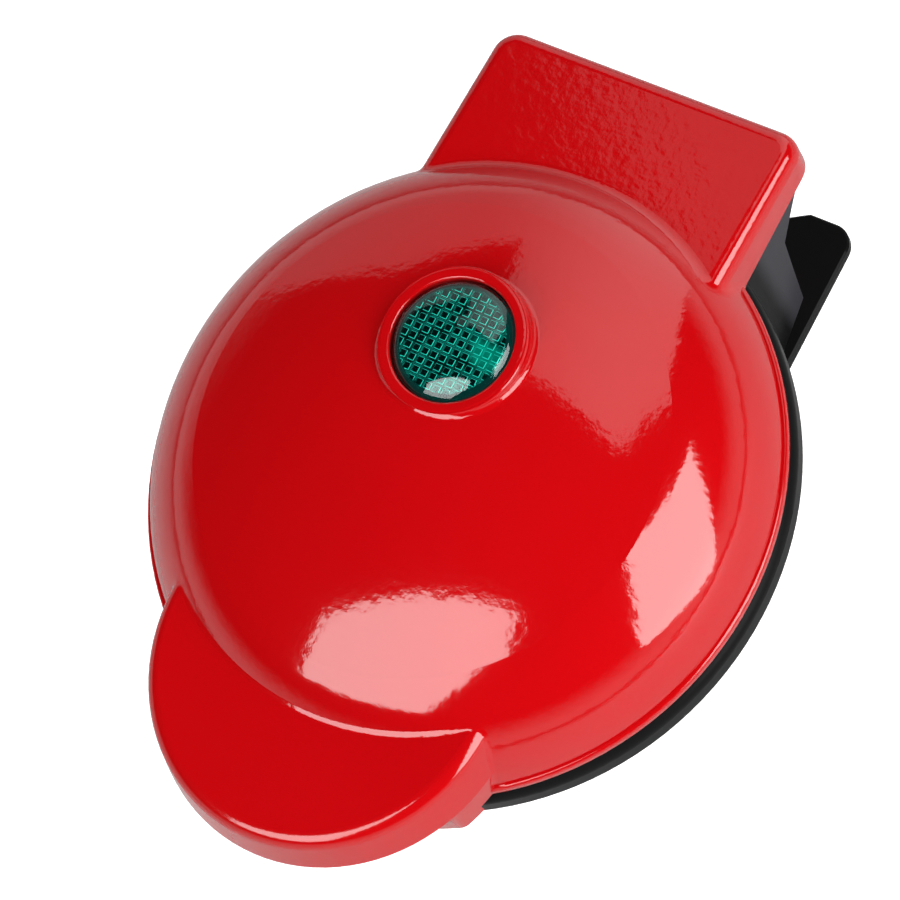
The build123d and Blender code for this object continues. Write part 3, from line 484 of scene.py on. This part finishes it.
def floor_pale():
    """Pale table top, lit up for the camera as a studio table is."""
    finish = Finish("floor_pale", Specular_IOR_Level=0.1, Emission_Strength=1.0)
    soft = finish.noise(6, 3)
    finish.paint(Base_Color=finish.mix(soft, colour(0.58, 0.58, 0.58), colour(0.62, 0.62, 0.62)))
    finish.paint(Roughness=0.8 + 0.1 * soft)
    seen = finish.node("ShaderNodeLightPath").outputs["Is Camera Ray"]
    lit = colour(FLOOR_GLOW, FLOOR_GLOW, FLOOR_GLOW)
    finish.paint(Emission_Color=finish.mix(seen, colour(0, 0, 0), lit))
    return finish.material


def mesh_piece(name, points, faces, material):
    """An object from its points and faces."""
    mesh = bpy.data.meshes.new(name)
    mesh.from_pydata(points, [], faces)
    mesh.validate()
    mesh.materials.append(material)
    return add_object(name, mesh)


def turned_points(outline):
    """Points and outward faces of a (radius, height) outline turned about the lamp's axis."""
    points, rings = [], []
    for radius, height in outline:
        ring = []
        for i in range(COVER_STEPS if radius > 0 else 1):
            turn = 2 * math.pi * i / COVER_STEPS
            ring.append(len(points))
            points.append((radius * math.cos(turn), LAMP_Y + radius * math.sin(turn), height))
        rings.append(ring)
    faces = []
    for inner, outer in zip(rings, rings[1:]):
        for i in range(COVER_STEPS):
            j = (i + 1) % COVER_STEPS
            here = [inner[i % len(inner)], outer[i % len(outer)]]
            there = [outer[j % len(outer)], inner[j % len(inner)]]
            faces.append(list(dict.fromkeys(here + there)))
    return points, [face for face in faces if len(face) > 2]


class Recipe(Nodes):
    """A Geometry Nodes tree with named sizes, run once on a piece."""

    def __init__(self, name, **sizes):
        super().__init__(bpy.data.node_groups.new(name, "GeometryNodeTree"))
        self.sizes = sizes
        self.keys = {}
        for way in ("INPUT", "OUTPUT"):
            self.socket("Geometry", way, "NodeSocketGeometry")
        for size, value in sizes.items():
            kind = "NodeSocketInt" if isinstance(value, int) else "NodeSocketFloat"
            self.keys[size] = self.socket(size, "INPUT", kind).identifier
        self.given = self.node("NodeGroupInput").outputs

    def socket(self, name, way, kind):
        return self.tree.interface.new_socket(name, in_out=way, socket_type=kind)

    def size(self, name):
        return Number(self, self.given[name])

    def vector(self, x=0.0, y=0.0, z=0.0):
        return self.first("ShaderNodeCombineXYZ", {0: x, 1: y, 2: z})

    def length(self, vector):
        node = self.node("ShaderNodeVectorMath", {"operation": "LENGTH"}, {0: vector})
        return Number(self, node.outputs["Value"])

    def joined(self, *shapes):
        """Shapes put together."""
        both = self.node("GeometryNodeJoinGeometry")
        for shape in shapes:
            self.tree.links.new(shape, both.inputs[0])
        return both.outputs[0]

    def make(self, piece, result, material):
        """Ends the tree, runs it on the piece and keeps the result as its mesh."""
        real = self.first("GeometryNodeRealizeInstances", {0: result})
        finished = self.first("GeometryNodeSetMaterial", {"Geometry": real, "Material": material})
        self.node("NodeGroupOutput", sockets={"Geometry": finished})
        modifier = piece.modifiers.new("recipe", "NODES")
        modifier.node_group = self.tree
        for size, value in self.sizes.items():
            modifier[self.keys[size]] = value
        evaluated = piece.evaluated_get(bpy.context.evaluated_depsgraph_get())
        piece.data = bpy.data.meshes.new_from_object(evaluated)
        piece.modifiers.clear()


def dress_lens(piece):
    """Hands a piece to the lid as part of the lamp's lens."""
    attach(piece, "lid")
    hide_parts("lamp_lens")


def face_height(radius, down=0.0):
    """Height of the lens's crowned face, or of a face below it."""
    ball = (COVER_RADIUS ** 2 + COVER_CROWN ** 2) / (2 * COVER_CROWN)
    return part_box("lamp_lens")[1].z - down - ball + math.sqrt(ball ** 2 - radius ** 2)


def lens_seat():
    """Height at which the lens's edge rests in the collar."""
    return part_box("lamp_lens")[1].z - COVER_DEPTH


def crowned(radius, steps, down=0.0):
    """Outline of a crowned face, from its middle to a radius."""
    radii = [radius * i / steps for i in range(steps + 1)]
    return [(r, face_height(r, down)) for r in radii]


def lens_cover(material):
    """The lens's clear crowned face, with a skirt round the prism plate."""
    inside = COVER_RADIUS - COVER_SKIRT
    edge = face_height(COVER_RADIUS)
    turn = COVER_EDGE_ROUND / 3
    outline = crowned(COVER_RADIUS - COVER_EDGE_ROUND, FACE_STEPS)
    outline += [(COVER_RADIUS - turn, edge - turn), (COVER_RADIUS, edge - COVER_EDGE_ROUND)]
    outline += [(COVER_RADIUS, lens_seat()), (inside, lens_seat())]
    outline += reversed(crowned(inside, INSIDE_STEPS, COVER_WALL))
    piece = mesh_piece("lens_cover", *turned_points(outline), material)
    piece.data.shade_smooth()
    dress_lens(piece)


def prism_grid(recipe):
    """Prisms set out on a square grid, without those that would lie outside the round field."""
    pitch, rows = recipe.size("pitch"), recipe.size("rows")
    span = pitch * (rows - 1)
    grid = recipe.first("GeometryNodeMeshGrid", {0: span, 1: span, 2: rows, 3: rows})
    reach = recipe.length(recipe.first("GeometryNodeInputPosition"))
    outside = reach.maths("GREATER_THAN", recipe.size("field") + pitch * PRISM_OVERHANG)
    kept = recipe.first("GeometryNodeDeleteGeometry", {"Geometry": grid, "Selection": outside})
    corner = math.sqrt(0.5)
    sizes = {
        "Vertices": 4,
        "Radius Top": recipe.size("top") * corner,
        "Radius Bottom": recipe.size("foot") * corner,
        "Depth": recipe.size("rise"),
    }
    cone = recipe.first("GeometryNodeMeshCone", sizes, fill_type="NGON")
    turn = recipe.vector(z=math.radians(45))
    prism = recipe.first("GeometryNodeTransform", {"Geometry": cone, "Rotation": turn})
    prisms = recipe.first("GeometryNodeInstanceOnPoints", {"Points": kept, "Instance": prism})
    return recipe.first("GeometryNodeRealizeInstances", {0: prisms})


def trimmed_prisms(recipe, prisms):
    """The prisms with what reaches past the round field drawn in to its edge."""
    x, y, z = recipe.parts(recipe.first("GeometryNodeInputPosition"))
    from_axis = recipe.length(recipe.vector(x, y))
    shrink = (recipe.size("field") / from_axis.at_least(AXIS_GUARD)).at_most(1.0)
    held = recipe.vector(x * shrink, y * shrink + LAMP_Y, z + recipe.size("height"))
    return recipe.first("GeometryNodeSetPosition", {"Geometry": prisms, "Position": held})


def lens_prisms(material):
    """The plate of prisms below the cover, and its tube."""
    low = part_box("lamp_lens")[0].z
    seat = lens_seat()
    top = seat + PLATE_RISE
    plate = COVER_RADIUS - COVER_SKIRT - PLATE_GAP
    bore = TUBE_RADIUS - TUBE_WALL
    outline = [(0, top), (plate, top), (plate, seat), (TUBE_RADIUS, seat)]
    outline += [(TUBE_RADIUS, low), (bore, low), (bore, seat), (0, seat)]
    piece = mesh_piece("lens_prisms", *turned_points(outline), material)
    recipe = Recipe(
        "lens_prism_recipe",
        pitch=PRISM_PITCH,
        foot=PRISM_FOOT,
        top=PRISM_TOP,
        rise=PRISM_RISE,
        rows=PRISM_ROWS,
        field=PRISM_FIELD,
        height=top - PRISM_SINK,
    )
    prisms = trimmed_prisms(recipe, prism_grid(recipe))
    recipe.make(piece, recipe.joined(recipe.given["Geometry"], prisms), material)
    dress_lens(piece)


make_camera()
make_world()
softbox(
    "softbox_left", -102.5, 54.5, width=0.63, height=0.84, brightness=6.6, roll=4, slant=LEFT_SLANT
)
softbox("softbox_right", 8.7, 31, width=0.62, height=1.0, brightness=7.6, roll=-29)

scene = bpy.context.scene
scene.view_settings.view_transform = "Standard"
scene.view_settings.look = "None"

finishes = {
    "red_plastic": red_plastic(),
    # Its paler neck colour is a painted sheen
    "black_plastic": black_satin(
        "black_plastic_satin", 0.006, 0.32, 0.01 * MM, neck_sheen=(0.036, 0.035, 0.040)
    ),
    "black_gloss": black_satin("black_plastic_gloss", 0.006, 0.12, 0.001 * MM),
    "soft_black": black_satin("soft_black_matte", 0.020, 0.60, 0.012 * MM),
    "green_lens": lens_cover_green(),
    "lamp_glass": lamp_glass(),
    "foot_rubber": foot_rubber(),
    "pan_coat": pan_coat(),
    "heater_steel": bare_metal("heater_steel_oxidised", 0.30, 0.45, 500, warmth=0.06),
    "steel": bare_metal("steel_plain", 0.55, 0.30, 1200),
    "sheet_metal": bare_metal("sheet_metal_zinc", 0.62, 0.35, 300, (1, 6, 1)),
    "ceramic": pale_matte(
        "ceramic_unglazed", (0.70, 0.67, 0.60), (0.84, 0.81, 0.75), 0.7, 500, 0.02 * MM
    ),
    "dark_cap": pale_matte(
        "dark_cap_moulded", (0.04, 0.022, 0.014), (0.07, 0.042, 0.028), 0.4, 800, 0.01 * MM
    ),
    "white_plastic": pale_matte(
        "white_plastic_satin", (0.70, 0.69, 0.64), (0.78, 0.77, 0.73), 0.4, 400, 0.008 * MM
    ),
    "brass_screw": bare_metal("brass_turned", 0.78, 0.28, 1500, warmth=0.28),
    "lead_sleeve": lead_sleeve(),
}
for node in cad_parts.values():
    for slot in node.material_slots:
        slot.material = finishes[slot.material.name.split(".")[0]]

corners = [(x * FLOOR_SIZE, y * FLOOR_SIZE, 0) for x, y in ((-1, -1), (1, -1), (1, 1), (-1, 1))]
table = mesh_piece("floor", corners, [(0, 1, 2, 3)], floor_pale())

lens_cover(finishes["green_lens"])
lens_prisms(lens_prism_green())
